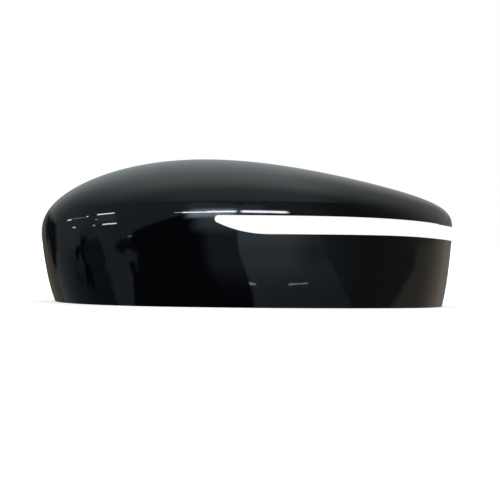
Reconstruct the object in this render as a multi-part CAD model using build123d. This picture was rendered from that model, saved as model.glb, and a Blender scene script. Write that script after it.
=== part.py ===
from build123d import *
import os
from math import cos, hypot, radians, sin, tan

# A wing mirror cover, moulded in one piece. X runs to the outboard end, Y to the rear and Z up, in millimetres.
# The skin is one Bezier patch on a cage of eight columns and six rails. Its foot lies in the plane Z = 0,
# and its other three sides lie in the upright plane of the rear edge.

# Overall form
LENGTH = 234.5
REAR_SWEEP = 14.0
WALL = 2.5

# Columns of the cage between the two ends, placed along the length
INBOARD_CORNER_INSET = 41.0
CROWN_X = -18.0
MIDDLE_X = 7.6
OUTBOARD_CORNER_INSET = 14.7

# How far the front rail stands ahead of the inboard rear corner
INBOARD_SIDE_DEPTH = 68.0
INBOARD_CORNER_DEPTH = 103.0
CROWN_DEPTH = 111.0
MIDDLE_DEPTH = 112.0
OUTBOARD_CORNER_DEPTH = 110.0
OUTBOARD_SIDE_DEPTH = 100.0

# Height of the crown rail
INBOARD_END_HEIGHT = 38.6
INBOARD_SIDE_HEIGHT = 67.2
INBOARD_CORNER_HEIGHT = 79.5
CROWN_HEIGHT = 99.1
MIDDLE_HEIGHT = 84.9
OUTBOARD_CORNER_HEIGHT = 58.3
OUTBOARD_SIDE_HEIGHT = 64.0
OUTBOARD_END_HEIGHT = 42.0

# Section between the front rail and the crown rail
SHOULDER_HEIGHT = 50.0
SHOULDER_SHARE = 0.85
WALL_RAIL_SHARE = 0.36
FRONT_DRAFT = 2.0
BROW_SETBACK = 0.06
CROWN_SETBACK = 0.5

# How far the foot draws in at each end
INBOARD_DRAW = 8.9
OUTBOARD_DRAW = 5.7

# Lamp slot, drawn in the front view
SLOT_TIP_X = -19.8
SLOT_TOP = 49.4
SLOT_BOTTOM = 39.35
SLOT_TIP_ANGLE = 32.7
SLOT_TIP_REACH = 11.1
SLOT_RISE_X = 15.0
SLOT_RISE_REACH = 13.7
SLOT_NOSE_RADIUS = 2.0
SLOT_TOP_DROP = 6.1
SLOT_BOTTOM_DROP = 3.65
SLOT_TOP_STRAIGHT_X = 43.4
SLOT_BOTTOM_STRAIGHT_X = 78.7
SLOT_TURN_INSET = 22.6
SLOT_RUNOUT = 3.0

# Lip behind the edge of the slot
LIP_WIDTH = 1.6
LIP_DEPTH = 4.0

# Ribs on the inside of the front wall
RIB_THICKNESS = 1.5
RIB_DEPTH = 5.0
RIB_FOOT = 4.0
TALL_RIB_TOP = 58.0
RIB_SLOT_GAP = 5.0
TALL_RIB_XS = (-88.0, -42.0)
SHORT_RIB_XS = (30.0, 92.0)

# Snap tongues with a catch at the free end
TONGUE_WIDTH = 12.0
TONGUE_THICKNESS = 2.2
TONGUE_LENGTH = 15.0
CATCH_HEIGHT = 2.0
CATCH_LENGTH = 4.5
FRONT_TONGUE_XS = (-66.0, 4.0, 72.0)
FRONT_TONGUE_Z = 11.0
CROWN_TONGUE_XS = (-78.0, -30.0, 22.0)
CROWN_TONGUE_SETBACK = 15.0
END_TONGUE_Z = 24.0
END_TONGUE_SETBACK = 26.0

# Locating pegs, round and parallel to Y, each on a boss with a flat shoulder
PEG_RADIUS = 3.0
PEG_LENGTH = 16.0
PEG_CHAMFER = 0.8
BOSS_RADIUS = 5.0
BOSS_HEIGHT = 6.0
PEG_PLACES = ((-64.0, 34.0), (52.0, 24.0))

REACH = 2 * LENGTH


def rear_y(x):
    """Place of the rear edge at x: zero at the inboard end and further forward outboard."""
    return -tan(radians(REAR_SWEEP)) * (x + LENGTH / 2)


def columns():
    """The cage's columns as x, place of the front rail and height of the crown rail."""
    end = LENGTH / 2
    return [
        (-end, rear_y(-end), INBOARD_END_HEIGHT),
        (-end, -INBOARD_SIDE_DEPTH, INBOARD_SIDE_HEIGHT),
        (INBOARD_CORNER_INSET - end, -INBOARD_CORNER_DEPTH, INBOARD_CORNER_HEIGHT),
        (CROWN_X, -CROWN_DEPTH, CROWN_HEIGHT),
        (MIDDLE_X, -MIDDLE_DEPTH, MIDDLE_HEIGHT),
        (end - OUTBOARD_CORNER_INSET, -OUTBOARD_CORNER_DEPTH, OUTBOARD_CORNER_HEIGHT),
        (end, -OUTBOARD_SIDE_DEPTH, OUTBOARD_SIDE_HEIGHT),
        (end, rear_y(end), OUTBOARD_END_HEIGHT),
    ]


def inset_rail(rail, distance):
    """A rail moved to its inner side, with each corner mitred so that every leg moves by the distance."""
    normals = []
    for (ax, ay), (bx, by) in zip(rail, rail[1:]):
        leg = hypot(bx - ax, by - ay)
        normals.append(((by - ay) / leg, (ax - bx) / leg))
    moved = []
    for (x, y), before, after in zip(rail, normals[:1] + normals, normals + normals[-1:]):
        share = distance / (1 + before[0] * after[0] + before[1] * after[1])
        moved.append((x + share * (before[0] + after[0]), y + share * (before[1] + after[1])))
    return moved


def drawn_in(x, y, z, amount):
    """A point of the cage moved along the rear edge's direction as the ends draw in to the foot."""
    middle = LENGTH / 2 * (INBOARD_DRAW - OUTBOARD_DRAW) / (INBOARD_DRAW + OUTBOARD_DRAW)
    step = (middle - x) * amount * (INBOARD_DRAW + OUTBOARD_DRAW) / LENGTH
    return (x + step, y - tan(radians(REAR_SWEEP)) * step, z)


def cage(inset):
    """Control points of the skin, column by column, each from the foot over the shoulder to the rear edge."""
    places = columns()
    plan = inset_rail([(x, -front) for x, front, _ in places], inset)
    crown = inset_rail([(x, height) for x, _, height in places], inset)
    last = len(places) - 1
    net = []
    for i, ((x, ahead), (top_x, height)) in enumerate(zip(plan, crown)):
        at_end = i in (0, last)
        front = rear_y(x) if at_end else -ahead
        draft = 0.0 if at_end else FRONT_DRAFT
        back = rear_y(top_x)
        top_front = back if at_end else front
        shoulder = min(SHOULDER_HEIGHT, SHOULDER_SHARE * height)
        net.append([
            drawn_in(x, front, 0.0, 1.0),
            drawn_in(x, front + WALL_RAIL_SHARE * draft, WALL_RAIL_SHARE * shoulder, WALL_RAIL_SHARE),
            (x, front + draft, shoulder),
            (top_x, top_front + BROW_SETBACK * (back - top_front), height),
            (top_x, top_front + CROWN_SETBACK * (back - top_front), height),
            (top_x, back, height),
        ])
    return net


def skin(inset):
    """The moulding's outer face, or a face further in."""
    return Face.make_bezier_surface(cage(inset))


def plug(inset):
    """The solid that the skin closes with the foot plane and the rear plane."""
    net = cage(inset)
    foot_line = Edge.make_line(net[-1][0], net[0][0])
    foot_edge = Edge.make_bezier(*[column[0] for column in net])
    inboard_edge = Edge.make_bezier(*net[0])
    rear_edge = Edge.make_bezier(*[column[-1] for column in net])
    outboard_edge = Edge.make_bezier(*net[-1])
    foot = Face(Wire([foot_edge, foot_line]))
    rear = Face(Wire([inboard_edge, rear_edge, outboard_edge, foot_line]))
    return Solid(Shell([skin(inset), foot, rear]))


def band(depth):
    """The space behind the wall, down to a depth, and half of the wall that it grows from."""
    return plug(WALL / 2) - plug(WALL + depth)


def seat_on_wall(origin, direction):
    """Where a line from outside meets the wall's inner face."""
    return skin(WALL).find_intersection_points(Axis(origin, direction))[0][0]


def slot_outline(grow):
    """Front view of the lamp slot, widened all round: a rounded tip inboard, and both edges out past the far end."""
    end = LENGTH / 2 + SLOT_RUNOUT
    turn = LENGTH / 2 - SLOT_TURN_INSET
    angle = radians(SLOT_TIP_ANGLE)
    top = SLOT_TOP + grow
    bottom = SLOT_BOTTOM - grow
    tip = (SLOT_TIP_X - grow / tan(angle / 2), top)
    tip_handle = (
        SLOT_TIP_X + SLOT_TIP_REACH * cos(angle) - grow * sin(angle),
        SLOT_TOP - SLOT_TIP_REACH * sin(angle) - grow * cos(angle),
    )
    rise = (SLOT_RISE_X, bottom)
    upper_end = (end, top - SLOT_TOP_DROP)
    lower_end = (end, bottom - SLOT_BOTTOM_DROP)
    upper = Edge.make_bezier(tip, (SLOT_TOP_STRAIGHT_X, top), (turn, top), upper_end)
    lower = Edge.make_bezier(rise, (SLOT_BOTTOM_STRAIGHT_X, bottom), (turn, bottom), lower_end)
    sweep = Edge.make_bezier(tip, tip_handle, (SLOT_RISE_X - SLOT_RISE_REACH, bottom), rise)
    outline = Face(Wire([upper, Edge.make_line(upper_end, lower_end), lower, sweep]))
    nose = outline.vertices().sort_by(Axis.X)[0]
    return outline.fillet_2d(SLOT_NOSE_RADIUS + grow, [nose])


def front_prism(outline):
    """An outline of the front view carried through the cover along Y."""
    return extrude(Plane.XZ * outline, REACH, both=True)


def slot_lip():
    """A return lip behind the edge of the slot."""
    return front_prism(slot_outline(LIP_WIDTH)) & band(LIP_DEPTH)


def rib(x, top):
    """An upright rib on the inside of the front wall."""
    low = (x - RIB_THICKNESS / 2, -REACH, RIB_FOOT)
    height = top - RIB_FOOT
    plate = Pos(*low) * Box(RIB_THICKNESS, REACH, height, align=(Align.MIN, Align.MIN, Align.MIN))
    return plate & band(RIB_DEPTH)


def tongue(seat, out, up):
    """A snap tongue that stands out from the wall, with a ramped catch on its upper side."""
    side = Vector(out).cross(Vector(up))
    catch_start = TONGUE_LENGTH - CATCH_LENGTH
    profile = Polyline(
        (-TONGUE_WIDTH, 0),
        (TONGUE_LENGTH, 0),
        (TONGUE_LENGTH, TONGUE_THICKNESS),
        (catch_start, TONGUE_THICKNESS + CATCH_HEIGHT),
        (catch_start, TONGUE_THICKNESS),
        (-TONGUE_WIDTH, TONGUE_THICKNESS),
        close=True,
    )
    plane = Plane(origin=seat, x_dir=out, z_dir=side)
    plate = extrude(plane * make_face(profile), TONGUE_WIDTH / 2, both=True)
    return plate & plug(WALL / 2)


def front_tongue(x):
    """A tongue low on the front wall, pointing to the rear."""
    seat = seat_on_wall((x, -REACH, FRONT_TONGUE_Z), (0, 1, 0))
    return tongue(seat, (0, 1, 0), (0, 0, 1))


def crown_tongue(x):
    """A tongue that hangs from the crown near the rear edge, with its catch to the rear."""
    y = rear_y(x) - CROWN_TONGUE_SETBACK
    seat = seat_on_wall((x, y, REACH), (0, 0, -1))
    return tongue(seat, (0, 0, -1), (0, 1, 0))


def end_tongue():
    """A tongue on the inboard end wall, pointing outboard."""
    seat = seat_on_wall((-REACH, -END_TONGUE_SETBACK, END_TONGUE_Z), (1, 0, 0))
    return tongue(seat, (1, 0, 0), (0, 0, 1))


def peg(x, z):
    """A round locating peg with a chamfered tip, on a boss whose flat shoulder the housing seats against."""
    seat = seat_on_wall((x, -REACH, z), (0, 1, 0))
    shoulder = Plane(origin=seat + Vector(0, BOSS_HEIGHT, 0), x_dir=(1, 0, 0), z_dir=(0, 1, 0))
    boss = Cylinder(BOSS_RADIUS, REACH, align=(Align.CENTER, Align.CENTER, Align.MAX))
    post = Cylinder(PEG_RADIUS, PEG_LENGTH, align=(Align.CENTER, Align.CENTER, Align.MIN))
    post = chamfer(post.edges().sort_by(Axis.Z)[-1], PEG_CHAMFER)
    return shoulder * (boss + post) & plug(WALL / 2)


def wing_mirror_cover():
    """The whole moulding, standing on its foot with its box centred over the origin."""
    short_top = SLOT_BOTTOM - LIP_WIDTH - RIB_SLOT_GAP
    cover = plug(0.0) - plug(WALL)
    cover += slot_lip()
    cover += [rib(x, TALL_RIB_TOP) for x in TALL_RIB_XS]
    cover += [rib(x, short_top) for x in SHORT_RIB_XS]
    cover += [front_tongue(x) for x in FRONT_TONGUE_XS]
    cover += [crown_tongue(x) for x in CROWN_TONGUE_XS]
    cover += [end_tongue()]
    cover += [peg(x, z) for x, z in PEG_PLACES]
    cover -= front_prism(slot_outline(0.0))
    box = cover.bounding_box()
    return Pos(-box.center().X, -box.center().Y, -box.min.Z) * cover


cover = wing_mirror_cover()
print("size", cover.bounding_box().size, "volume", cover.volume, "solids", len(cover.solids()))
os.makedirs("parts", exist_ok=True)
export_step(cover.solid(), "parts/wing_mirror_cover.step")
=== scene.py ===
# %% [markdown]
# A wing mirror cover in gloss black, standing on its lower rim. The real one is a single injection
# moulding, a domed shell about two and a half millimetres thick, painted outside and left bare inside. A
# long slot for the turn lamp opens through its outboard end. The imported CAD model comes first, as the frame
# that every piece keeps to.

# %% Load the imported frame
from math import comb, cos, pi, radians, sin, tan

import bpy
import numpy as np
from mathutils import Matrix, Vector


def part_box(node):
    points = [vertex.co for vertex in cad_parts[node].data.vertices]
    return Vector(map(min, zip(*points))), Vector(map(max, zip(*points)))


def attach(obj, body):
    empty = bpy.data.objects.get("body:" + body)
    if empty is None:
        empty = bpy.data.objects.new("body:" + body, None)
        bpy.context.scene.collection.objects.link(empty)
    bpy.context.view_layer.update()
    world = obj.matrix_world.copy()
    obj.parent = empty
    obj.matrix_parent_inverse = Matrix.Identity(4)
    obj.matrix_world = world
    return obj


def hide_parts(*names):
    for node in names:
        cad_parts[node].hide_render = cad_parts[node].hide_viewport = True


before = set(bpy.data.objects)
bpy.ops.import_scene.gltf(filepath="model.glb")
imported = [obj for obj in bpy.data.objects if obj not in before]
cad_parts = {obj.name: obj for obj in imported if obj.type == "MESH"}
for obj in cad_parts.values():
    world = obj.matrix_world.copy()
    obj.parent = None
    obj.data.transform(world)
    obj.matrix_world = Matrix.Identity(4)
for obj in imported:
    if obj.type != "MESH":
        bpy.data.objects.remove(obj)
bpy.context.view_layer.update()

NODE = "wing_mirror_cover"
MM = 0.001
inboard_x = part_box(NODE)[0][0] / MM
inboard_rear_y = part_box(NODE)[1][1] / MM
print("inboard rear corner at", round(inboard_x, 3), round(inboard_rear_y, 3), "mm")

# %% [markdown]
# The skin is one Bezier patch, the way a stylist would draw it: eight columns from the inboard end to the
# outboard end, each with six control points from the foot over the shoulder to the rear edge. A subdivision
# cage or a sculpt could look alike, but a formula gives a skin with no bumps, and gloss black shows every
# bump. The sizes are the part's own, in millimetres.

# %% Sizes of the shell
LENGTH = 234.5
REAR_SWEEP = tan(radians(14.0))
WALL = 2.5
HALF = LENGTH / 2
COLUMN_X = np.array([-HALF, -HALF, 41.0 - HALF, -18.0, 7.6, HALF - 14.7, HALF, HALF])
COLUMN_DEPTH = np.array([0.0, 68.0, 103.0, 111.0, 112.0, 110.0, 100.0, 0.0])
COLUMN_HEIGHT = np.array([38.6, 67.2, 79.5, 99.1, 84.9, 58.3, 64.0, 42.0])
AT_END = np.isin(np.arange(len(COLUMN_X)), (0, len(COLUMN_X) - 1))
SHOULDER_HEIGHT = 50.0
SHOULDER_SHARE = 0.85
WALL_RAIL_SHARE = 0.36
FRONT_DRAFT = 2.0
BROW_SETBACK = 0.06
CROWN_SETBACK = 0.5
INBOARD_DRAW = 8.9
OUTBOARD_DRAW = 5.7
FRAME_SHIFT = np.array([inboard_x + HALF, inboard_rear_y, 0.0])
print("columns at x", COLUMN_X)


# %% Control points of the skin
def rear_y(x):
    """The swept rear plane: zero at the inboard end, less the sweep's tangent times the way outboard."""
    return -REAR_SWEEP * (x + HALF)


def inset_rail(rail, distance):
    """A polyline moved inwards: points go along their mitres by distance over one plus the turn's cosine."""
    legs = np.diff(rail, axis=0)
    legs = legs / np.linalg.norm(legs, axis=1, keepdims=True)
    normals = np.stack([legs[:, 1], -legs[:, 0]], axis=1)
    before = np.vstack([normals[:1], normals])
    after = np.vstack([normals, normals[-1:]])
    share = distance / (1 + np.sum(before * after, axis=1))
    return rail + share[:, None] * (before + after)


def drawn_in(x, y, z, amount):
    """Points near the foot moved along the rear plane, in proportion to their way from the middle."""
    total = INBOARD_DRAW + OUTBOARD_DRAW
    middle = HALF * (INBOARD_DRAW - OUTBOARD_DRAW) / total
    step = (middle - x) * amount * total / LENGTH
    return np.stack([x + step, y - REAR_SWEEP * step, z + 0 * x], axis=-1)


def cage(inset):
    """Control points of the skin, or of one further in: front and crown rails are inset, the rest follows."""
    front = np.where(AT_END, rear_y(COLUMN_X), -COLUMN_DEPTH)
    x, ahead = inset_rail(np.stack([COLUMN_X, -front], axis=1), inset).T
    top_x, height = inset_rail(np.stack([COLUMN_X, COLUMN_HEIGHT], axis=1), inset).T
    front = np.where(AT_END, rear_y(x), -ahead)
    draft = np.where(AT_END, 0.0, FRONT_DRAFT)
    back = rear_y(top_x)
    top_front = np.where(AT_END, back, front)
    shoulder = np.minimum(SHOULDER_HEIGHT, SHOULDER_SHARE * height)
    rise = WALL_RAIL_SHARE
    rails = [
        drawn_in(x, front, 0.0, 1.0),
        drawn_in(x, front + rise * draft, rise * shoulder, rise),
        np.stack([x, front + draft, shoulder], axis=-1),
        np.stack([top_x, top_front + BROW_SETBACK * (back - top_front), height], axis=-1),
        np.stack([top_x, top_front + CROWN_SETBACK * (back - top_front), height], axis=-1),
        np.stack([top_x, back, height], axis=-1),
    ]
    return np.stack(rails, axis=1) + FRAME_SHIFT


outer, inner = cage(0.0), cage(WALL)
print("cage", outer.shape, "wall at the foot", round(inner[4, 0, 1] - outer[4, 0, 1], 3), "mm")


# %% Points on a skin
def bernstein(degree, t):
    """Bernstein polynomials of a degree: n over k, times t to the k, times one minus t to the rest."""
    t = np.asarray(t, float)[..., None]
    k = np.arange(degree + 1)
    weights = np.array([comb(degree, i) for i in k])
    return weights * t**k * (1 - t) ** (degree - k)


def on_skin(net, u, v):
    """Points of the Bezier patch at u from inboard to outboard and v from the foot to the rear edge.

    A point is the sum of the net's points, weighted by the Bernstein polynomials of u and of v.
    """
    columns, rows = net.shape[:2]
    return np.einsum("...i,...j,ijk->...k", bernstein(columns - 1, u), bernstein(rows - 1, v), net)


def slopes(net, u, v):
    """The patch's two derivatives, which are patches of one degree less on the differences of the net."""
    columns, rows = net.shape[:2]
    along = on_skin((columns - 1) * np.diff(net, axis=0), u, v)
    up = on_skin((rows - 1) * np.diff(net, axis=1), u, v)
    return along, up


print("rear edge at mid length", on_skin(outer, 0.5, 1.0).round(2), "mm")

# %% [markdown]
# Drawings give places in a view: so far outboard and so high in the front view, for instance. A ray cast
# onto a mesh would find the point there only as well as the mesh is fine. Newton's method on the patch
# itself finds it exactly, for all points at once.

# %% Points of a skin at places in a view
X, Y, Z = 0, 1, 2
FRONT_VIEW, TOP_VIEW, END_VIEW = [X, Z], [X, Y], [Y, Z]
SEEDS = np.linspace(0, 1, 61)
NEWTON_STEPS = 14
LARGEST_STEP = 0.1
TINY = 1e-6


def span(a, b):
    """Signed area between rows of plane vectors: the first's x times the other's y, less y times x."""
    return a[:, 0] * b[:, 1] - a[:, 1] * b[:, 0]


def find_uv(net, wanted, view):
    """Parameters of the points at wanted places: the nearest of a coarse grid, then Newton steps."""
    u, v = (grid.ravel() for grid in np.meshgrid(SEEDS, SEEDS))
    seeds = on_skin(net, u, v)[:, view]
    nearest = np.argmin(((wanted[:, None] - seeds[None]) ** 2).sum(-1), axis=1)
    u, v = u[nearest], v[nearest]
    for _ in range(NEWTON_STEPS):
        miss = on_skin(net, u, v)[:, view] - wanted
        along, up = (slope[:, view] for slope in slopes(net, u, v))
        whole = span(along, up)
        whole = np.where(np.abs(whole) < TINY, TINY, whole)
        u = np.clip(u - np.clip(span(miss, up) / whole, -LARGEST_STEP, LARGEST_STEP), 0, 1)
        v = np.clip(v - np.clip(span(along, miss) / whole, -LARGEST_STEP, LARGEST_STEP), 0, 1)
    return u, v


def seen_at(net, wanted, view):
    """Points of a skin at wanted places in a view."""
    return on_skin(net, *find_uv(net, wanted, view))


print("front of the skin at mid height", seen_at(outer, np.array([[0.0, 25.0]]), FRONT_VIEW).round(2))

# %% [markdown]
# The slot is cut straight through along Y, so its outline is drawn in the front view: two long curves that
# start in a small rounded tip. Cutting it with a boolean would leave long thin triangles beside it. Here
# each edge is found on the skin instead, and the grid of the skin is laid along it.

# %% Rounded nose of the slot
SLOT_NOSE_RADIUS = 2.0
CURVE_STEPS = np.linspace(0, 1, 801)
ARC_POINTS = 91


def arc(centre, radius, start, end):
    """Points of a circle between two angles: the centre plus the radius times cosine and sine."""
    turn = np.linspace(start, end, ARC_POINTS)
    return centre + radius * np.stack([np.cos(turn), np.sin(turn)], axis=1)


def nose_circle(sweep, top, radius):
    """Centre of the circle that touches the slot's top and the sweep below, and where and at what angle.

    The centre lies on the sweep moved inwards by the radius, where that is one radius under the top.
    """
    way = np.gradient(sweep, axis=0)
    inward = np.stack([-way[:, 1], way[:, 0]], axis=1) / np.linalg.norm(way, axis=1, keepdims=True)
    moved = sweep + radius * inward
    touch = np.interp(radius - top, -moved[:, 1], CURVE_STEPS)
    centre = np.array([np.interp(touch, CURVE_STEPS, moved[:, 0]), top - radius])
    foot = np.array([np.interp(touch, CURVE_STEPS, sweep[:, k]) for k in (0, 1)]) - centre
    return centre, touch, np.arctan2(foot[1], foot[0]) % (2 * pi)


print("nose of", SLOT_NOSE_RADIUS, "mm radius in two arcs of", ARC_POINTS, "points")

# %% Outline of the slot
SLOT_TIP_X = -19.8
SLOT_TOP = 49.4
SLOT_BOTTOM = 39.35
SLOT_TIP_ANGLE = radians(32.7)
SLOT_TIP_REACH = 11.1
SLOT_RISE_X = 15.0
SLOT_RISE_REACH = 13.7
SLOT_TOP_DROP = 6.1
SLOT_BOTTOM_DROP = 3.65
SLOT_TOP_STRAIGHT_X = 43.4
SLOT_BOTTOM_STRAIGHT_X = 78.7
SLOT_TURN_X = HALF - 22.6
SLOT_END_X = HALF + 3.0
GAP_PAST_ARC = 0.05
STEP_PAST_TOUCH = 0.002


def slot_edges(grow):
    """Front view of the slot's upper and lower edge from the nose outboard, moved out by grow all round.

    Each is an arc of the nose and then cubic Bezier curves.
    """
    top, bottom = SLOT_TOP + grow, SLOT_BOTTOM - grow
    tip = (SLOT_TIP_X - grow / tan(SLOT_TIP_ANGLE / 2), top)
    handle = (
        SLOT_TIP_X + SLOT_TIP_REACH * cos(SLOT_TIP_ANGLE) - grow * sin(SLOT_TIP_ANGLE),
        SLOT_TOP - SLOT_TIP_REACH * sin(SLOT_TIP_ANGLE) - grow * cos(SLOT_TIP_ANGLE),
    )
    rise = (SLOT_RISE_X, bottom)
    top_end = (SLOT_END_X, top - SLOT_TOP_DROP)
    bottom_end = (SLOT_END_X, bottom - SLOT_BOTTOM_DROP)
    cubic = bernstein(3, CURVE_STEPS)
    upper = cubic @ np.array([tip, (SLOT_TOP_STRAIGHT_X, top), (SLOT_TURN_X, top), top_end])
    lower = cubic @ np.array([rise, (SLOT_BOTTOM_STRAIGHT_X, bottom), (SLOT_TURN_X, bottom), bottom_end])
    sweep = cubic @ np.array([tip, handle, (SLOT_RISE_X - SLOT_RISE_REACH, bottom), rise])
    radius = SLOT_NOSE_RADIUS + grow
    centre, touch, low_angle = nose_circle(sweep, top, radius)
    upper = np.vstack([arc(centre, radius, pi, pi / 2), upper[upper[:, 0] > centre[0] + GAP_PAST_ARC]])
    past_nose = sweep[CURVE_STEPS > touch + STEP_PAST_TOUCH]
    lower = np.vstack([arc(centre, radius, pi, low_angle), past_nose, lower[1:]])
    return upper + FRAME_SHIFT[FRONT_VIEW], lower + FRAME_SHIFT[FRONT_VIEW]


slot_upper, slot_lower = slot_edges(0.0)
print("slot nose at", slot_upper[0].round(2), "and", round(SLOT_TOP - SLOT_BOTTOM, 2), "mm wide")

# %% Edges of the slot on a skin
BORDER_STEPS = np.linspace(0, 1, 8001)
NOSE_STRETCH = 12.0
NOSE_STEPS = np.linspace(0, 1, 121)
STEPS_TO_END = np.linspace(1, 0, 601)[1:-1]
GAP_AT_END = 1e-4


def edge_height(edge, x):
    """Height of an edge of the slot at x, read between its points."""
    return np.interp(x, edge[:, 0], edge[:, 1])


def edge_end(net, edge, leaves_by_rear):
    """Parameters where an edge of the slot leaves the skin, by its rear edge or by its end column.

    That border's height over the edge changes sign there, and the place between two steps is in proportion.
    """
    ones = np.ones_like(BORDER_STEPS)
    border = on_skin(net, BORDER_STEPS, ones) if leaves_by_rear else on_skin(net, ones, BORDER_STEPS)
    gap = border[:, 2] - edge_height(edge, border[:, 0])
    last = np.nonzero((gap[:-1] < 0) != (gap[1:] < 0))[0][-1]
    crossing = BORDER_STEPS[last] + BORDER_STEPS[1] * gap[last] / (gap[last] - gap[last + 1])
    return (crossing, 1.0) if leaves_by_rear else (1.0, crossing)


def edge_on_skin(net, edge, leaves_by_rear):
    """Parameters along an edge of the slot, at squares of even steps from the nose and to the end."""
    u_end, v_end = edge_end(net, edge, leaves_by_rear)
    end_x = on_skin(net, u_end, v_end)[0]
    near_nose = edge[0, 0] + NOSE_STRETCH * NOSE_STEPS**2
    x = np.concatenate([near_nose, end_x - (end_x - near_nose[-1]) * STEPS_TO_END**2])
    wanted = np.stack([x, edge_height(edge, x)], axis=1)
    u, v = find_uv(net, wanted, FRONT_VIEW)
    found = np.linalg.norm(on_skin(net, u, v)[:, FRONT_VIEW] - wanted, axis=1) < TINY
    found &= (u < u_end - GAP_AT_END) & (v < 1 - TINY)
    return np.append(u[found], u_end), np.append(v[found], v_end)


for name, net in (("outer", outer), ("inner", inner)):
    rear_u, end_v = edge_end(net, slot_upper, True)[0], edge_end(net, slot_lower, False)[1]
    print(name, "skin: the slot ends at u", round(rear_u, 4), "above and at v", round(end_v, 4), "below")

# %% [markdown]
# The shell is one closed mesh. Its outer skin is two blocks of a grid: one from the foot up to the slot,
# and one from the slot over the crown to the rear edge. Inboard of the slot's nose the blocks share a row
# of points. The columns crowd together at the nose and at the outboard end, which spaces them evenly round
# the small arc and the tip. The inner skin is the same grid on the inset cage, turned round, and a strip
# joins the two along the rim and through the slot.

# %% Points of one skin around the slot
INBOARD_COLUMNS = 110
OUTBOARD_COLUMNS = 190
LOWER_ROWS = 34
UPPER_ROWS = 62


def ease(t):
    """A share from zero to one that starts and ends slowly: three times t squared, less twice t cubed."""
    return t * t * (3 - 2 * t)


def skin_points(net):
    """Lower and upper block of a skin: u runs along the columns, v is shared out between two borders."""
    up_u, up_v = edge_on_skin(net, slot_upper, True)
    low_u, low_v = edge_on_skin(net, slot_lower, False)
    inboard = np.linspace(0, up_u[0], INBOARD_COLUMNS + 1)
    seam = np.full(INBOARD_COLUMNS + 1, up_v[0])
    crowded = ease(np.linspace(0, 1, OUTBOARD_COLUMNS + 1))[1:]
    blocks = []
    for edge_u, edge_v, rows, is_upper in ((low_u, low_v, LOWER_ROWS, False), (up_u, up_v, UPPER_ROWS, True)):
        out_u = edge_u[0] + (edge_u[-1] - edge_u[0]) * crowded
        u = np.concatenate([inboard, out_u])
        border = np.concatenate([seam, np.interp(out_u, edge_u, edge_v)])
        share = np.linspace(0, 1, rows + 1)[:, None]
        v = border + (1 - border) * share if is_upper else border * share
        blocks.append(on_skin(net, np.broadcast_to(u, v.shape), v).reshape(-1, 3))
    return np.vstack(blocks)


outside, inside = skin_points(outer), skin_points(inner)
print("each skin has", len(outside), "points")


# %% Faces of one skin
def skin_indices():
    """Point numbers of the two blocks: the upper one takes the lower one's seam and ends in one point."""
    columns = INBOARD_COLUMNS + OUTBOARD_COLUMNS + 1
    lower = np.arange((LOWER_ROWS + 1) * columns).reshape(-1, columns)
    upper = lower.size + np.arange((UPPER_ROWS + 1) * columns).reshape(-1, columns)
    upper[0, : INBOARD_COLUMNS + 1] = lower[-1, : INBOARD_COLUMNS + 1]
    upper[:, -1] = upper[0, -1]
    return lower, upper


def quads(index):
    """Faces of a grid of point numbers, counter-clockwise with columns to the right and rows up."""
    corners = (index[:-1, :-1], index[:-1, 1:], index[1:, 1:], index[1:, :-1])
    return np.stack(corners, axis=-1).reshape(-1, 4)


lower_block, upper_block = skin_indices()
tip_fan = np.stack([upper_block[:-1, -2], upper_block[:-1, -1], upper_block[1:, -2]], axis=-1)
skin_quads = np.vstack([quads(lower_block), quads(upper_block[:, :-1])])
border_loop = np.concatenate(
    [
        lower_block[0, :-1],
        lower_block[:-1, -1],
        lower_block[-1, :INBOARD_COLUMNS:-1],
        upper_block[0, INBOARD_COLUMNS:],
        upper_block[-1, -2::-1],
        upper_block[-2:0:-1, 0],
        lower_block[:0:-1, 0],
    ]
)
print("skin has", len(skin_quads), "quads and a border of", len(border_loop), "points")

# %% [markdown]
# A mesh could be built face by face, which is slow in Python. Blender takes whole arrays instead: the
# points, the corners of all faces in one row, and where each face starts in that row. Every piece goes this
# way, and each is told its body on the spot. Its material is added further on.

# %% From arrays to a mesh
SHARP_DEGREES = 35.0


def add_piece(name, points, faces):
    """A mesh object from points in millimetres and arrays of faces, smooth but for sharp edges."""
    used, numbers = np.unique(np.concatenate([np.ravel(f) for f in faces]), return_inverse=True)
    corners = np.concatenate([np.full(len(f), f.shape[1]) for f in faces])
    starts = np.concatenate([[0], np.cumsum(corners)[:-1]])
    mesh = bpy.data.meshes.new(name)
    mesh.vertices.add(len(used))
    mesh.vertices.foreach_set("co", (points[used] * MM).ravel())
    mesh.loops.add(len(numbers))
    mesh.loops.foreach_set("vertex_index", numbers.ravel())
    mesh.polygons.add(len(corners))
    mesh.polygons.foreach_set("loop_start", starts)
    mesh.polygons.foreach_set("use_smooth", np.ones(len(corners), bool))
    mesh.update(calc_edges=True)
    mesh.validate()
    mesh.set_sharp_from_angle(angle=radians(SHARP_DEGREES))
    piece = bpy.data.objects.new(name, mesh)
    bpy.context.scene.collection.objects.link(piece)
    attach(piece, "root")
    return piece, used


def signed_volume(points, triangles):
    """Volume inside closed triangles: the sum of a sixth of the triple product of their corners."""
    a, b, c = points[triangles].transpose(1, 0, 2)
    return np.einsum("ij,ij->", a, np.cross(b, c)) / 6


def report(piece):
    """Prints a piece's faces and its volume in cubic millimetres."""
    mesh = piece.data
    mesh.calc_loop_triangles()
    triangles = np.empty(len(mesh.loop_triangles) * 3, np.int32)
    mesh.loop_triangles.foreach_get("vertices", triangles)
    points = np.empty(len(mesh.vertices) * 3)
    mesh.vertices.foreach_get("co", points)
    volume = signed_volume(points.reshape(-1, 3) / MM, triangles.reshape(-1, 3))
    print(piece.name, len(mesh.polygons), "faces, volume", round(volume), "mm3")


print("edges over", SHARP_DEGREES, "degrees stay sharp")

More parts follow.
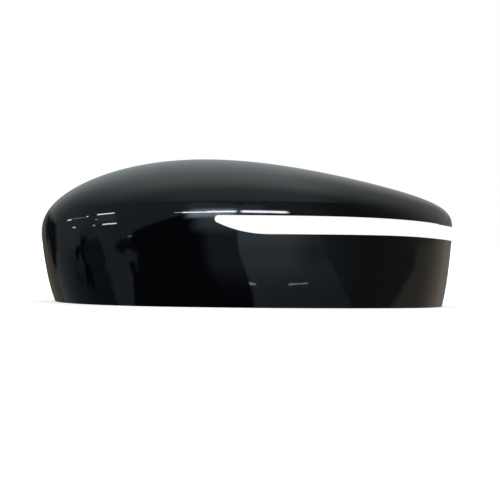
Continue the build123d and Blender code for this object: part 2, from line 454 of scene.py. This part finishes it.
# %% The shell
count = len(outside)
next_on_border = np.roll(border_loop, -1)
rim = np.stack([next_on_border, border_loop, border_loop + count, next_on_border + count], axis=-1)
shell_faces = [skin_quads, tip_fan, skin_quads[:, ::-1] + count, tip_fan[:, ::-1] + count, rim]
shell, used = add_piece("cover_shell", np.vstack([outside, inside]), shell_faces)
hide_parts(NODE)
paint = shell.data.attributes.new("paint", "FLOAT", "POINT")
paint.data.foreach_set("value", (used < count).astype(np.float32))
report(shell)

# %% [markdown]
# Behind the painted face such a cover carries what holds it: a lip round the slot, ribs, snap tongues and
# pegs. Each could be a box or a cylinder with a boolean, but their roots have to follow the curved wall. In
# mesh terms they are one thing, a few rails that follow the wall and two end caps, so one function makes
# them. They start at the middle of the wall, so that no gap shows at their roots.

# %% A bar between rails
HALF_WALL = WALL / 2
half_skin = cage(HALF_WALL)
FINE_EDGE = 0.25
SOFT_EDGE = 0.3


def bar(rails):
    """Closed bar: rails in order round the section, joined by quads and capped, its faces turned outwards."""
    sides, stations = rails.shape[:2]
    index = np.arange(sides * stations).reshape(sides, stations)
    ring = np.vstack([index, index[:1]])
    points, faces = rails.reshape(-1, 3), [quads(ring), index[:, :1].T, index[::-1, -1:].T]
    fans = [f[:, [0, k, k + 1]] for f in faces for k in range(1, f.shape[1] - 1)]
    if signed_volume(points, np.vstack(fans)) < 0:
        faces = [f[:, ::-1] for f in faces]
    return points, faces


def joined(bars):
    """Several bars as one set of points and faces: each bar's point numbers go on after the last one's."""
    shifts = np.cumsum([0] + [len(points) for points, _ in bars])
    faces = [f + shift for (_, group), shift in zip(bars, shifts) for f in group]
    return np.vstack([points for points, _ in bars]), faces


def soften(piece, width):
    """A small rounded edge, as every moulded edge has."""
    bevel = piece.modifiers.new("moulded_edge", "BEVEL")
    bevel.width = width * MM
    bevel.segments = 2
    bevel.limit_method = "ANGLE"
    bevel.angle_limit = radians(50)
    bevel.use_clamp_overlap = False
    bevel.harden_normals = True


print("bars start", HALF_WALL, "mm deep in the wall")

# %% [markdown]
# A lip runs round the slot on the inside. On the real cover it stiffens the cut edge and guides the lamp.
# An extrusion along Y would do for a flat wall. Here the slot's outline, at two widths and two depths of
# the wall, gives four rails, so that the lip follows the wall round the outboard end.

# %% Lip behind the slot
LIP_WIDTH = 1.6
LIP_DEPTH = 4.0
LIP_BACK = WALL + LIP_DEPTH
LIP_STATIONS = 150
SLOT_SIDE = 0.02
LIP_SECTION = ((SLOT_SIDE, HALF_WALL), (SLOT_SIDE, LIP_BACK), (LIP_WIDTH, LIP_BACK), (LIP_WIDTH, HALF_WALL))


def slot_path(grow, inset):
    """The slot's outline, moved out by grow, on an inset skin: from the upper end round to the lower end."""
    net = cage(inset)
    q = np.linspace(0, 1, LIP_STATIONS + 1) ** 2
    halves = []
    for edge, leaves_by_rear in zip(slot_edges(grow), (True, False)):
        edge_u, edge_v = edge_on_skin(net, edge, leaves_by_rear)
        u = edge_u[0] + (edge_u[-1] - edge_u[0]) * q
        halves.append(on_skin(net, u, np.interp(u, edge_u, edge_v)))
    return np.vstack([halves[0][:0:-1], halves[1]])


slot_lip, _ = add_piece("slot_lip", *bar(np.stack([slot_path(grow, inset) for grow, inset in LIP_SECTION])))
soften(slot_lip, FINE_EDGE)
report(slot_lip)

# %% [markdown]
# Four upright ribs stiffen the front wall. A rib is thinner than the wall, so that no sink mark shows in
# the paint. Its rails run up the wall in pairs, one pair in the wall and one at the rib's depth.

# %% Ribs on the front wall
RIB_THICKNESS = 1.5
RIB_DEPTH = 5.0
RIB_BACK = WALL + RIB_DEPTH
RIB_FOOT = 4.0
RIB_STATIONS = 28
RIB_CLEARANCE = 5.0
TALL_RIB_TOP = 58.0
SHORT_RIB_TOP = SLOT_BOTTOM - LIP_WIDTH - RIB_CLEARANCE
RIBS = ((-88.0, TALL_RIB_TOP), (-42.0, TALL_RIB_TOP), (30.0, SHORT_RIB_TOP), (92.0, SHORT_RIB_TOP))
RIB_SECTION = ((-1, HALF_WALL), (-1, RIB_BACK), (1, RIB_BACK), (1, HALF_WALL))


def rib(x, top):
    """An upright plate: four rails that run up the wall, two inside it and two at the rib's depth."""
    z = np.linspace(RIB_FOOT, top, RIB_STATIONS)
    rails = []
    for side, inset in RIB_SECTION:
        wanted = np.stack([np.full_like(z, x + side * RIB_THICKNESS / 2), z], axis=1)
        rails.append(seen_at(cage(inset), wanted + FRAME_SHIFT[FRONT_VIEW], FRONT_VIEW))
    return bar(np.stack(rails))


ribs, _ = add_piece("ribs", *joined([rib(x, top) for x, top in RIBS]))
soften(ribs, FINE_EDGE)
report(ribs)

# %% [markdown]
# Seven snap tongues hold the cover on the mirror housing. Each is a plate with a ramped catch at its end:
# it bends aside on the way in and springs back behind an edge. The section is six points, and the rails run
# across the tongue's width, so the two at its root can follow the wall.

# %% Snap tongues
TONGUE_WIDTH = 12.0
TONGUE_THICKNESS = 2.2
TONGUE_LENGTH = 15.0
TONGUE_STATIONS = 13
CATCH_LENGTH = 4.5
CATCH_HEIGHT = 2.0
CATCH_AT = TONGUE_LENGTH - CATCH_LENGTH
CATCH_TOP = TONGUE_THICKNESS + CATCH_HEIGHT
OUT_STEPS = np.array([0.0, TONGUE_LENGTH, TONGUE_LENGTH, CATCH_AT, CATCH_AT, 0.0])
UP_STEPS = np.array([0.0, 0.0, TONGUE_THICKNESS, CATCH_TOP, TONGUE_THICKNESS, TONGUE_THICKNESS])
FRONT_TONGUE_XS = (-66.0, 4.0, 72.0)
FRONT_TONGUE_Z = 11.0
CROWN_TONGUE_XS = (-78.0, -30.0, 22.0)
CROWN_TONGUE_SETBACK = 15.0
END_TONGUE_YZ = (-26.0, 24.0)


def tongue(place, out, up, across, view, sign):
    """A plate with a ramped catch: rails across its width, of which the first and last lie in the wall."""
    steps = np.linspace(-TONGUE_WIDTH / 2, TONGUE_WIDTH / 2, TONGUE_STATIONS)
    seat = seen_at(inner, np.array([place]) + FRAME_SHIFT[view], view)[0]
    rails = np.zeros((len(OUT_STEPS), len(steps), 3))
    rails[..., across] = seat[across] + steps
    rails[..., up] = (seat[up] + UP_STEPS)[:, None]
    rails[..., out] = (seat[out] + sign * OUT_STEPS)[:, None]
    for root in (0, -1):
        rails[root, :, out] = seen_at(half_skin, rails[root][:, view], view)[:, out]
    return bar(rails)


tongue_bars = [tongue((x, FRONT_TONGUE_Z), Y, Z, X, FRONT_VIEW, 1) for x in FRONT_TONGUE_XS]
for x in CROWN_TONGUE_XS:
    tongue_bars.append(tongue((x, rear_y(x) - CROWN_TONGUE_SETBACK), Z, Y, X, TOP_VIEW, -1))
tongue_bars.append(tongue(END_TONGUE_YZ, X, Z, Y, END_VIEW, 1))
tongues, _ = add_piece("snap_tongues", *joined(tongue_bars))
soften(tongues, SOFT_EDGE)
report(tongues)

# %% [markdown]
# Two pegs on bosses find holes in the housing and set the cover's place before the tongues snap in. A peg
# is a turned shape, which Blender's Screw modifier could spin from a profile. As rings round a line along
# Y, it is the same bar as before, and its first ring can lie in the curved wall.

# %% Locating pegs
PEG_RADIUS = 3.0
PEG_LENGTH = 16.0
PEG_CHAMFER = 0.8
BOSS_RADIUS = 5.0
BOSS_HEIGHT = 6.0
PEGS = ((-64.0, 34.0), (52.0, 24.0))
AROUND = np.linspace(0, 2 * pi, 48, endpoint=False)


def peg(x, z):
    """A stepped post round a line along Y: each ring is a circle, and the first one lies in the wall."""
    x = x + FRAME_SHIFT[X]
    seat = seen_at(inner, np.array([[x, z]]), FRONT_VIEW)[0, Y]
    shoulder, tip = seat + BOSS_HEIGHT, seat + BOSS_HEIGHT + PEG_LENGTH
    radii = np.array([BOSS_RADIUS, BOSS_RADIUS, PEG_RADIUS, PEG_RADIUS, PEG_RADIUS - PEG_CHAMFER])
    places = np.array([seat, shoulder, shoulder, tip - PEG_CHAMFER, tip])
    rings = np.zeros((len(radii), len(AROUND), 3))
    rings[..., X] = x + radii[:, None] * np.cos(AROUND)
    rings[..., Y] = places[:, None]
    rings[..., Z] = z + radii[:, None] * np.sin(AROUND)
    rings[0] = seen_at(half_skin, rings[0][:, FRONT_VIEW], FRONT_VIEW)
    return bar(rings.transpose(1, 0, 2))


pegs, _ = add_piece("locating_pegs", *joined([peg(x, z) for x, z in PEGS]))
soften(pegs, FINE_EDGE)
report(pegs)

# %% [markdown]
# A material is a small graph. Sums and products of its values read best as Python, so a thin wrapper round
# a socket turns each operator into a Math node, and one method adds every other node.


# %% A helper for shader graphs
class Value:
    """A socket of a graph that can be used in sums and products."""

    def __init__(self, graph, socket):
        self.graph = graph
        self.socket = socket

    def __add__(self, other):
        return self.graph.math("ADD", self, other)

    def __sub__(self, other):
        return self.graph.math("SUBTRACT", self, other)

    def __rsub__(self, other):
        return self.graph.math("SUBTRACT", other, self)

    def __mul__(self, other):
        return self.graph.math("MULTIPLY", self, other)

    __radd__ = __add__
    __rmul__ = __mul__


class Graph:
    """Adds nodes to one node tree."""

    def __init__(self, tree):
        self.tree = tree
        tree.nodes.clear()

    def add(self, kind, settings, sockets, out=0):
        """A node of a kind: its settings, then values or links of its sockets. Out names what it gives."""
        node = self.tree.nodes.new(kind)
        for name, setting in settings.items():
            setattr(node, name, setting)
        for name, value in sockets.items():
            if isinstance(value, Value):
                self.tree.links.new(value.socket, node.inputs[name])
            else:
                node.inputs[name].default_value = value
        if isinstance(out, tuple):
            return [Value(self, node.outputs[name]) for name in out]
        return Value(self, node.outputs[out]) if len(node.outputs) else None

    def math(self, operation, *values):
        """A Math node, for an operator or for a function such as MAXIMUM."""
        return self.add("ShaderNodeMath", {"operation": operation}, dict(enumerate(values)))

    def smooth(self, value, low, high, first=0.0, last=1.0):
        """The first level below low, the last above high and a smooth step between."""
        settings = {"interpolation_type": "SMOOTHSTEP"}
        sockets = {"Value": value, "From Min": low, "From Max": high, "To Min": first, "To Max": last}
        return self.add("ShaderNodeMapRange", settings, sockets)

    def fade(self, value, low, high):
        """One below low, zero above high and a smooth step between."""
        return self.smooth(value, low, high, 1.0, 0.0)

    def window(self, value, low, high, soft):
        """One between two bounds and zero outside, with soft borders."""
        return self.smooth(value, low - soft, low + soft) - self.smooth(value, high - soft, high + soft)

    def mix(self, factor, first, second):
        """A colour between two colours. The colour sockets are the node's seventh and eighth."""
        return self.add("ShaderNodeMix", {"data_type": "RGBA"}, {0: factor, 6: first, 7: second}, 2)

    def tone(self, value, tint):
        """A colour of a tint with a changing brightness."""
        return self.add("ShaderNodeVectorMath", {"operation": "SCALE"}, {0: tint, "Scale": value})

    def noise(self, place, scale, detail, roughness=0.5):
        """Soft noise of a scale, with so many finer layers."""
        sockets = {"Vector": place, "Scale": scale, "Detail": detail, "Roughness": roughness}
        return self.add("ShaderNodeTexNoise", {}, sockets)


def new_material(name):
    """A named material with an empty graph."""
    material = bpy.data.materials.new(name)
    material.use_nodes = True
    return material, Graph(material.node_tree)


print("operators that add a Math node: + - *")

# %% [markdown]
# Outside, the cover is gloss black: a black base whose own smooth surface does the mirroring. A second coat
# layer is not needed for that, as the base takes almost no part. What tells paint from glass is the faint
# waves of the sprayed surface, far thinner than a hair, and a little dust here and there.

# %% Gloss black paint
PAINT_BLACK = (0.0012, 0.0012, 0.0014, 1.0)
DUST_GREY = (0.05, 0.05, 0.048, 1.0)
PAINT_ROUGHNESS = 0.012
DUST_ROUGHNESS = 0.3
cover_finish, g = new_material("gloss_black_cover")
place = g.add("ShaderNodeTexCoord", {}, {}, "Object")
waves = g.noise(place, scale=260.0, detail=1.0, roughness=0.4)
wave_bump = g.add("ShaderNodeBump", {}, {"Strength": 0.01, "Distance": 0.0004, "Height": waves}, "Normal")
specks = g.add("ShaderNodeTexVoronoi", {}, {"Vector": place, "Scale": 170.0, "Randomness": 1.0}, "Distance")
clouds = g.noise(place, scale=28.0, detail=3.0)
dust = g.fade(specks, 0.02, 0.05) * g.smooth(clouds, 0.55, 0.75)
paint_sockets = {
    "Base Color": g.mix(dust, PAINT_BLACK, DUST_GREY),
    "Roughness": PAINT_ROUGHNESS + dust * DUST_ROUGHNESS,
    "IOR": 1.5,
    "Normal": wave_bump,
}
paint_shader = g.add("ShaderNodeBsdfPrincipled", {}, paint_sockets)
print("paint takes", len(cover_finish.node_tree.nodes), "nodes")

# %% [markdown]
# Inside is the bare moulding, satin black with the fine grain of a spark-eroded tool and a slow change of
# sheen where the plastic flowed. The paint attribute of the shell's points says which finish is where, and
# it fades over the rim as overspray does. The other pieces have no such attribute, so they read as bare.

# %% Bare moulding inside
BARE_DARK = (0.017, 0.017, 0.018, 1.0)
BARE_LIGHT = (0.027, 0.027, 0.028, 1.0)
BARE_ROUGHNESS = 0.40
FLOW_ROUGHNESS = 0.14
grain = g.noise(place, scale=1900.0, detail=3.0, roughness=0.6)
grain_bump = g.add("ShaderNodeBump", {}, {"Strength": 0.22, "Distance": 0.0002, "Height": grain}, "Normal")
flow = g.noise(place, scale=22.0, detail=2.0)
bare_sockets = {
    "Base Color": g.mix(flow, BARE_DARK, BARE_LIGHT),
    "Roughness": BARE_ROUGHNESS + flow * FLOW_ROUGHNESS,
    "Normal": grain_bump,
}
bare_shader = g.add("ShaderNodeBsdfPrincipled", {}, bare_sockets)
painted = g.add("ShaderNodeAttribute", {"attribute_name": "paint"}, {}, "Fac")
sprayed = g.smooth(painted, 0.25, 0.75)
finish = g.add("ShaderNodeMixShader", {}, {0: sprayed, 1: bare_shader, 2: paint_shader})
g.add("ShaderNodeOutputMaterial", {}, {"Surface": finish})
for piece in (shell, slot_lip, ribs, tongues, pegs):
    piece.data.materials.append(cover_finish)
print("finish has", len(cover_finish.node_tree.nodes), "nodes")

# %% [markdown]
# Gloss black has no colour of its own to show, so what it mirrors is its look. A real studio sets up cards
# and lamps for that. Mesh cards would stand in the way of other views, so here the studio is drawn in the
# world by direction: the angle around, from the front and growing outboard, and the angle above the
# horizon, both in degrees.

# %% Directions in the studio
DEGREES = 180 / pi
studio = bpy.data.worlds.new("studio")
studio.use_nodes = True
bpy.context.scene.world = studio
w = Graph(studio.node_tree)
ray = w.add("ShaderNodeTexCoord", {}, {}, "Generated")
east, north, up = w.add("ShaderNodeSeparateXYZ", {}, {"Vector": ray}, ("X", "Y", "Z"))
around = w.math("ARCTAN2", east, 0 - north) * DEGREES
above = w.math("ARCSINE", up) * DEGREES
print("directions take", len(studio.node_tree.nodes), "nodes")

# %% [markdown]
# The crown mirrors the roof. It is brightest overhead, and it dims to the front and to both sides, which
# gives the crown its slow fall from grey to black.

# %% Roof
ROOF_TINT = (0.91, 1.0, 1.03)
ROOF_LEVEL = 0.40
OVERHEAD_LEVEL = 0.85
OVERHEAD_POWER = 1.6
FRONT_SHARE = 0.47
OUTBOARD_SHARE = 0.58
INBOARD_SHARE = 0.38
overhead = w.math("POWER", w.math("ABSOLUTE", up), OVERHEAD_POWER)
roof = ROOF_LEVEL + overhead * OVERHEAD_LEVEL
roof = roof * w.smooth(north, -0.3, 0.15, FRONT_SHARE, 1.0)
roof = roof * w.smooth(east, 0.08, 0.25, 1.0, OUTBOARD_SHARE)
roof = roof * w.smooth(east, -0.95, -0.3, INBOARD_SHARE, 1.0)
room = w.tone(roof, ROOF_TINT)
print("roof is", ROOF_LEVEL, "at the horizon and", ROOF_LEVEL + OVERHEAD_LEVEL, "overhead")

# %% [markdown]
# The upright front mirrors a dim front wall. Its straight upper edge makes the clean line below the crown,
# so the edge is a slanting line in these angles, with a bend at the inboard end. The wall turns darker
# outboard.

# %% Front wall
WALL_BLUE = (0.19, 0.255, 0.30, 1.0)
WALL_DARK = (0.094, 0.106, 0.122, 1.0)
WALL_GREY = (0.14, 0.14, 0.147, 1.0)
WALL_FOOT = (0.09, 0.12, 0.145, 1.0)
EDGE_SLOPE = 0.17
BEND_AROUND = -50
WALL_END_SLANT = 0.5
bend = w.math("MAXIMUM", BEND_AROUND - around, 0.0)
front = w.fade(above - around * EDGE_SLOPE + bend * EDGE_SLOPE, 58.4, 60.2)
front = front * w.smooth(around, -125, -105) * w.fade(around + above * WALL_END_SLANT, 54, 94)
room = w.mix(front, room, WALL_BLUE)
room = w.mix(front * w.smooth(around, 3, 24), room, WALL_DARK)
room = w.mix(front * w.smooth(around, 24, 40), room, WALL_GREY)
room = w.mix(front * w.fade(above, -5, 6) * w.fade(around, -73, -68), room, WALL_FOOT)
print("front wall drawn, nodes so far", len(studio.node_tree.nodes))

# %% [markdown]
# The inboard end is strongly curved, so it squeezes a wide part of the studio into a narrow strip. A few
# soft patches, dark and warm, stand there. Noise bends their borders, because straight ones would look
# drawn.

# %% Patches at the inboard end
DIM_BLUE = (0.062, 0.09, 0.115, 1.0)
NIGHT_BLUE = (0.012, 0.018, 0.035, 1.0)
DEEP_BLUE = (0.02, 0.045, 0.075, 1.0)
WARM_BROWN = (0.165, 0.145, 0.115, 1.0)
SOOT_BLACK = (0.018, 0.020, 0.026, 1.0)
NO_BORDER = -200
WAVE_AROUND = 26
WAVE_ABOVE = 14
wave = w.noise(ray, scale=7.0, detail=1.0) - 0.5
wavy = around + wave * WAVE_AROUND
wavy_above = above + wave * WAVE_ABOVE


def patch(room, colour, sideways, upwards):
    """The room with a soft patch of a colour: each way takes an angle, two bounds and a softness."""
    return w.mix(w.window(*sideways) * w.window(*upwards), room, colour)


room = patch(room, DIM_BLUE, (wavy, -96, -74, 1.5), (wavy_above, NO_BORDER, 10.5, 2.5))
room = patch(room, NIGHT_BLUE, (wavy, -97, -90, 1.5), (above, -6, 8, 2))
room = patch(room, DEEP_BLUE, (wavy, -63, -56, 1.5), (wavy_above, 8, 15, 2))
room = patch(room, WARM_BROWN, (around, -175, -136, 4), (above, NO_BORDER, 9, 2))
room = patch(room, SOOT_BLACK, (around, -150, -127, 4), (wavy_above, -3, 8.5, 2))
print("patches drawn, nodes so far", len(studio.node_tree.nodes))

# %% [markdown]
# Inboard of the slot's nose the front is almost black: a dark screen stands there. Beside it hangs a pale
# panel, whose near border is curved, and some of its light strays over the screen. The border is an
# exponential curve that leans outboard near the horizon.

# %% Dark screen and pale panel
SCREEN_BLACK = (0.020, 0.020, 0.038, 1.0)
SCREEN_SLANT = 0.8
STRAY_BLUE = (0.15, 0.18, 0.235, 1.0)
HAZE_BLUE = (0.44, 0.58, 0.72, 1.0)
HAZE_SHARE = 0.85
BRIGHT_HAZE = (0.56, 0.70, 0.84, 1.0)
PANEL_TINT = (0.80, 1.0, 1.16)
PANEL_LOW = 0.24
PANEL_MIDDLE = 0.57
PANEL_HIGH_GAIN = 0.25
PANEL_FALL = 0.55
CURVE_REACH = 10.5
CURVE_HEIGHT = 7.5
curved = around - w.math("EXPONENT", above * (-1 / CURVE_HEIGHT)) * CURVE_REACH
screen = w.smooth(wavy, -59, -55) * w.fade(curved, -14.4, -13)
screen = screen * w.fade(above - around * SCREEN_SLANT, 63, 67)
room = w.mix(screen, room, SCREEN_BLACK)
stray = w.window(curved, -24, -12, 3) * w.smooth(above, 3, 10) * w.fade(above, 30, 36)
room = w.mix(stray, room, STRAY_BLUE)
haze = w.window(around, -36, -6, 3) * w.window(above, 38, 51, 3) * HAZE_SHARE
room = w.mix(haze, room, HAZE_BLUE)
room = patch(room, BRIGHT_HAZE, (around, -28, -10, 3.5), (above, 26, 42, 5))
panel_light = w.smooth(above, 1, 11, PANEL_LOW, PANEL_MIDDLE) + w.smooth(above, 13, 23, 0.0, PANEL_HIGH_GAIN)
panel_light = panel_light * (1 - w.smooth(around, -1, 9) * w.smooth(above, 2, 12, 0.0, PANEL_FALL))
panel = w.window(curved, -13.4, 8.6, 0.5) * w.fade(above, 24, 30)
room = w.mix(panel, room, w.tone(panel_light, PANEL_TINT))
print("screen and panel drawn, nodes so far", len(studio.node_tree.nodes))

# %% [markdown]
# The outboard end turns away from the front and mirrors the side of the studio: a pale side wall above, and
# a warm card below it. Behind the object and below the horizon, a dim tone stands for the floor that mirror
# rays do not see.

# %% Side wall and warm card
SIDE_PALE = (0.94, 0.95, 0.95, 1.0)
SIDE_GREY = (0.68, 0.68, 0.67, 1.0)
CARD_NEAR = (0.42, 0.41, 0.36, 1.0)
CARD_WARM = (0.97, 0.84, 0.70, 1.0)
CARD_FAR = (0.42, 0.38, 0.31, 1.0)
FLOOR_DIM = (0.10, 0.09, 0.08, 1.0)
CARD_SLANT = 2.4
side = w.smooth(around, 35, 110) * w.fade(around, 160, 175) * w.smooth(above, 4, 16) * w.fade(above, 40, 75)
room = w.mix(side, room, w.mix(w.smooth(around, 108, 150), SIDE_PALE, SIDE_GREY))
below = w.math("MINIMUM", above, 0.0)
card = w.smooth(around - below * CARD_SLANT, 50, 60) * w.fade(above, 4, 14) * w.fade(around, 150, 165)
card_colour = w.mix(w.smooth(around, 58, 102), CARD_NEAR, CARD_WARM)
room = w.mix(card, room, w.mix(w.smooth(around, 118, 150), card_colour, CARD_FAR))
room = w.mix(w.smooth(north, 0.9, 0.97) * w.fade(above, -0.2, 0.0), room, FLOOR_DIM)
print("side and card drawn, nodes so far", len(studio.node_tree.nodes))

# %% [markdown]
# The bright lines in the paint are strip lamps. A lamp here is a slanting bar in the two angles. Its row
# gives its start and its end, each as the angle around and the angle above, then half its width and its
# strength. A few wide weak bars in a bluish tint come first, as the glow of bright lamps in hazy paint.

# %% Strip lamps
GLOW_TINT = (0.83, 1.0, 1.18)
GLOWS = (
    (-32.5, 38.5, -15.5, 41.3, 3.9, 3.6),
    (-13.5, 43.2, 1.0, 44.4, 2.0, 1.2),
    (-84.5, 24.0, -70.5, 28.0, 3.2, 0.45),
)
LAMP_TINT = (0.96, 1.0, 1.04)
LAMPS = (
    (-39.6, 38.3, -34.0, 39.2, 0.28, 9.0),
    (-35.8, 38.9, -25.5, 40.5, 0.52, 24.0),
    (-26.0, 40.7, -15.2, 42.4, 0.85, 24.0),
    (-13.2, 42.75, 1.4, 43.95, 1.15, 24.0),
    (-87.0, 26.8, -74.8, 31.6, 0.52, 17.0),
    (-78.3, 20.3, -68.4, 23.5, 0.40, 17.0),
    (-113.6, 14.0, -109.2, 15.9, 0.45, 9.0),
    (-95.2, 22.6, -93.8, 23.2, 0.5, 12.0),
    (-108.0, 17.0, -96.0, 21.5, 0.4, 1.6),
    (-105.3, 11.3, -101.9, 12.1, 0.32, 8.0),
    (-85.8, 17.6, -84.2, 18.1, 0.4, 8.0),
    (-86.2, 22.4, -83.8, 23.1, 0.35, 3.8),
    (-58.6, 16.3, -56.6, 17.1, 0.3, 2.6),
    (-8.6, 5.35, -6.8, 5.05, 0.19, 3.6),
    (1.8, 4.53, 6.7, 4.22, 0.13, 3.0),
)
SOFT_SHARE = 0.6
SOFT_END = 0.2


def lit(room, tint, start, start_above, end, end_above, half_width, strength):
    """The room with a bar of light: a window along its length times one across the slanting line."""
    slope = (end_above - start_above) / (end - start)
    middle = start_above - start * slope
    soft = half_width * SOFT_SHARE
    along = w.window(around, start, end, SOFT_END + soft)
    across = w.window(above - around * slope, middle - half_width, middle + half_width, soft)
    return w.mix(along * across, room, (*(strength * level for level in tint), 1.0))


for lamps, tint in ((GLOWS, GLOW_TINT), (LAMPS, LAMP_TINT)):
    for lamp in lamps:
        room = lit(room, tint, *lamp)
print("studio has", len(LAMPS), "lamps and", len(studio.node_tree.nodes), "nodes")

# %% [markdown]
# The camera sees plain white behind the object. Mirror rays see that white only straight behind, just above
# the horizon. There the cover's outline turns away at a grazing angle and takes the colour of the
# background, as a gloss surface does in front of a white sheet.

# %% White behind the object
WHITE = (1.0, 1.0, 1.0)
sees = w.add("ShaderNodeLightPath", {}, {}, ("Is Camera Ray", "Is Glossy Ray", "Is Transmission Ray"))
behind = w.smooth(north, 0.985, 0.998) * w.smooth(above, -0.2, 0.0) * w.fade(above, 5.0, 9.0)
white_share = w.math("MAXIMUM", sees[0], (sees[1] + sees[2]) * behind)
seen_room = w.add("ShaderNodeBackground", {}, {"Color": room, "Strength": 1.0})
seen_white = w.add("ShaderNodeBackground", {}, {"Color": (*WHITE, 1.0), "Strength": 1.0})
sky = w.add("ShaderNodeMixShader", {}, {0: white_share, 1: seen_room, 2: seen_white})
w.add("ShaderNodeOutputWorld", {}, {"Surface": sky})
print("world has", len(studio.node_tree.nodes), "nodes")

# %% [markdown]
# The floor is a pale sheet that takes the object's shadow. To the camera it also gives a share of plain
# white, so that it runs into the white behind with no line. Mirror rays pass through it, because a pale
# floor in the paint would hide the studio below the horizon.

# %% Floor
FLOOR_HALF = 12.0
FLOOR_GREY = (0.85, 0.85, 0.85, 1.0)
NEAR_GLOW = 0.5
NEAR, FAR = 0.4, 1.5
floor_mesh = bpy.data.meshes.new("floor")
corners = np.array([[-1, -1, 0], [1, -1, 0], [1, 1, 0], [-1, 1, 0]]) * FLOOR_HALF
floor_mesh.from_pydata(corners, [], [(0, 1, 2, 3)])
floor = bpy.data.objects.new("floor", floor_mesh)
bpy.context.scene.collection.objects.link(floor)
floor.visible_glossy = False
floor_finish, f = new_material("pale_floor")
floor_place = f.add("ShaderNodeTexCoord", {}, {}, "Object")
floor_way = f.add("ShaderNodeVectorMath", {"operation": "LENGTH"}, {0: floor_place}, "Value")
floor_sees = f.add("ShaderNodeLightPath", {}, {}, ("Is Camera Ray", "Is Transmission Ray"))
floor_lift = (floor_sees[0] + floor_sees[1]) * f.smooth(floor_way, NEAR, FAR, NEAR_GLOW, 1.0)
matt = f.add("ShaderNodeBsdfDiffuse", {}, {"Color": FLOOR_GREY})
glow = f.add("ShaderNodeEmission", {}, {"Color": f.tone(floor_lift, WHITE), "Strength": 1.0})
both = f.add("ShaderNodeAddShader", {}, {0: matt, 1: glow})
f.add("ShaderNodeOutputMaterial", {}, {"Surface": both})
floor_mesh.materials.append(floor_finish)
print("floor", FLOOR_HALF * 2, "m wide")

# %% [markdown]
# One broad soft lamp overhead brings the light on the floor and on the bare inside to a plain level. The
# paint does not mirror it, since the roof of the studio is already there.

# %% Roof lamp
lamp_data = bpy.data.lights.new("roof_lamp", "AREA")
lamp_data.shape = "SQUARE"
lamp_data.size = 1.4
lamp_data.energy = 4.0
roof_lamp = bpy.data.objects.new("roof_lamp", lamp_data)
roof_lamp.location = (0.0, 0.1, 1.6)
roof_lamp.visible_glossy = False
roof_lamp.visible_camera = False
bpy.context.scene.collection.objects.link(roof_lamp)
print("roof lamp of", lamp_data.energy, "W, hung at", round(roof_lamp.location.z, 2), "m")

# %% [markdown]
# The camera stands a metre in front, level with the lower half of the cover, with a long lens. A long lens
# from afar is what product photographs use, because it keeps the outline true.

# %% Camera
LENS = 135.77
CAMERA_PLACE = (0.00475, -1.05458, 0.03776)
LOOK_DOWN = radians(0.3987)
LOOK_RIGHT = radians(0.0149)
ROLL = radians(0.367)
camera_data = bpy.data.cameras.new("camera")
camera_data.lens = LENS
camera_data.sensor_width = 36.0
camera_data.clip_start = 0.01
camera_data.clip_end = 100.0
camera = bpy.data.objects.new("camera", camera_data)
aim = Matrix.Rotation(-LOOK_RIGHT, 4, "Z") @ Matrix.Rotation(pi / 2 - LOOK_DOWN, 4, "X")
camera.matrix_world = Matrix.Translation(CAMERA_PLACE) @ aim @ Matrix.Rotation(ROLL, 4, "Z")
bpy.context.scene.collection.objects.link(camera)
bpy.context.scene.camera = camera
bpy.context.scene.view_settings.view_transform = "Standard"
print("camera at", CAMERA_PLACE)
